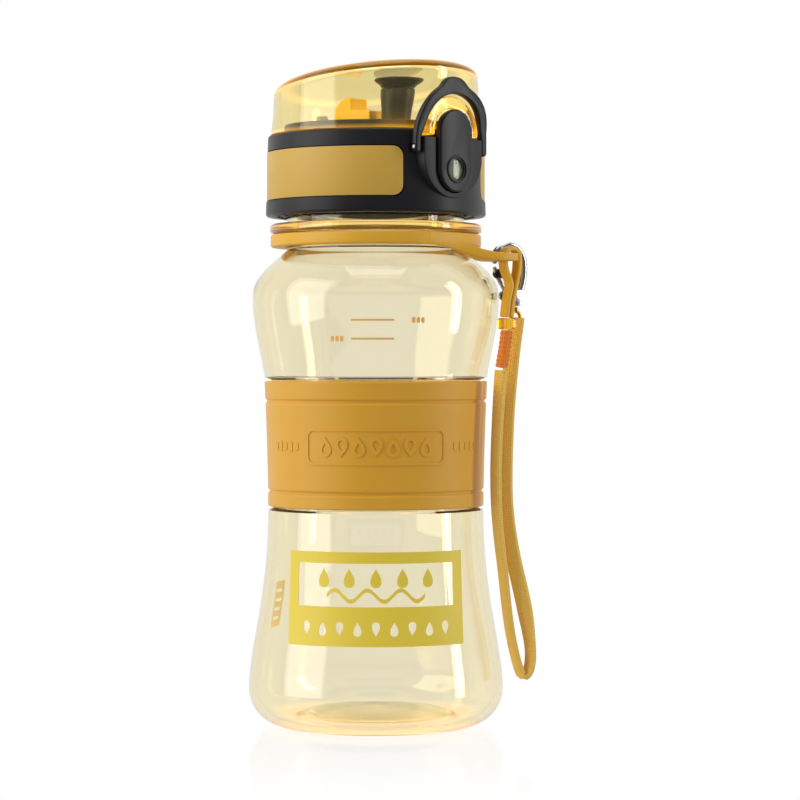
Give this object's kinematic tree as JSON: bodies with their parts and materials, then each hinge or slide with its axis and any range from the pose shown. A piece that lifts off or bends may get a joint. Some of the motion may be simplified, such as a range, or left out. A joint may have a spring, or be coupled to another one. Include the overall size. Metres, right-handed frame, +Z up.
{
  "type": "kids water bottle",
  "caption": "Amber clear kids water bottle with a locking flip-top screw lid, a straight spout, a silicone grip sleeve and a wrist strap on a snap hook.",
  "frame": {"origin": "centre of the base, on the surface that the bottle stands on", "axes": "+Z up along the bottle's axis; the lid's latch faces -Y and its hinge lies along X at +Y"},
  "size_m": [0.0706, 0.0734, 0.1827],
  "materials": {
    "amber_clear": "clear amber tinted, moulded, glossy",
    "dome_amber": "clear amber tinted, moulded, glossy",
    "black_plastic": "satin moulded",
    "sleeve_silicone": "matt silicone",
    "band_silicone": "matt silicone",
    "yellow_rubber": "satin silicone",
    "grey_rubber": "satin silicone",
    "clear_lens": "polished",
    "seal_silicone": "matt silicone",
    "steel": "drawn wire",
    "chrome": "plated",
    "strap_yellow": "satin flexible",
    "clear_plastic": "translucent",
    "yellow_webbing": "woven",
    "orange_webbing": "woven and stitched",
    "print_ink": "screen printed"
  },
  "bodies": {
    "bottle": {"bottle_body": "amber_clear", "grip_sleeve": "sleeve_silicone"},
    "lid_carrier": {"lid_gasket": "seal_silicone"},
    "lid": {"lid_shell": "black_plastic", "lid_liner": "black_plastic", "lid_band": "band_silicone", "spout": "black_plastic", "spout_grommet": "seal_silicone", "vent_plug": "yellow_rubber", "vent_valve": "grey_rubber", "hinge_pin": "steel", "hinge_spring": "steel", "button_pin": "steel", "button_spring": "steel", "bail_pin_left": "steel", "bail_pin_right": "steel"},
    "flip": {"flip_lid": "dome_amber", "spout_stopper": "black_plastic"},
    "button": {"latch_button": "black_plastic", "button_lens": "clear_lens"},
    "bail": {"lock_bail": "black_plastic"},
    "neck_band": {"neck_band": "strap_yellow"},
    "strap": {"tape_loop": "strap_yellow", "ferrule": "clear_plastic", "strap_fold": "orange_webbing", "snap_hook": "chrome", "gate_pin": "steel", "swivel_eye": "chrome", "wrist_strap": "yellow_webbing"},
    "gate": {"hook_gate": "chrome", "gate_knob": "black_plastic"}
  },
  "joints": [
    {"name": "lid_lift", "type": "slide", "parent": "bottle", "child": "lid_carrier", "axis": [0, 0, 1], "range_m": [0, 0.00601]},
    {"name": "lid_turn", "type": "hinge", "parent": "lid_carrier", "child": "lid", "pos_m": [0, 0, 0.141], "axis": [0, 0, 1], "range_deg": [0, 540]},
    {"name": "flip_open", "type": "hinge", "parent": "lid", "child": "flip", "pos_m": [0, 0.031, 0.1639], "axis": [-1, 0, 0], "range_deg": [0, 115], "deforming": ["hinge_spring"]},
    {"name": "button_press", "type": "hinge", "parent": "lid", "child": "button", "pos_m": [0, -0.0297, 0.1576], "axis": [1, 0, 0], "range_deg": [0, 6], "stiffness_Nm_per_rad": 0.05, "springref_deg": -5.73, "deforming": ["button_spring"]},
    {"name": "bail_swing", "type": "hinge", "parent": "lid", "child": "bail", "pos_m": [0, -0.0292, 0.1583], "axis": [1, 0, 0], "range_deg": [0, 135]},
    {"name": "band_turn", "type": "hinge", "parent": "bottle", "child": "neck_band", "pos_m": [0, 0, 0.1363], "axis": [0, 0, 1], "continuous": true},
    {"name": "strap_swing", "type": "hinge", "parent": "neck_band", "child": "strap", "pos_m": [0.01927, -0.0317, 0.1295], "axis": [-0.1562, -0.9877, 0], "range_deg": [0, 60]},
    {"name": "gate_open", "type": "hinge", "parent": "strap", "child": "gate", "pos_m": [0.02148, -0.02992, 0.1191], "axis": [0.1562, 0.9877, 0], "range_deg": [0, 18], "stiffness_Nm_per_rad": 0.01, "springref_deg": -11.46}
  ],
  "couplings": [
    {"joint": "lid_lift", "follows": "lid_turn", "m_per_rad": 0.00063662}
  ]
}
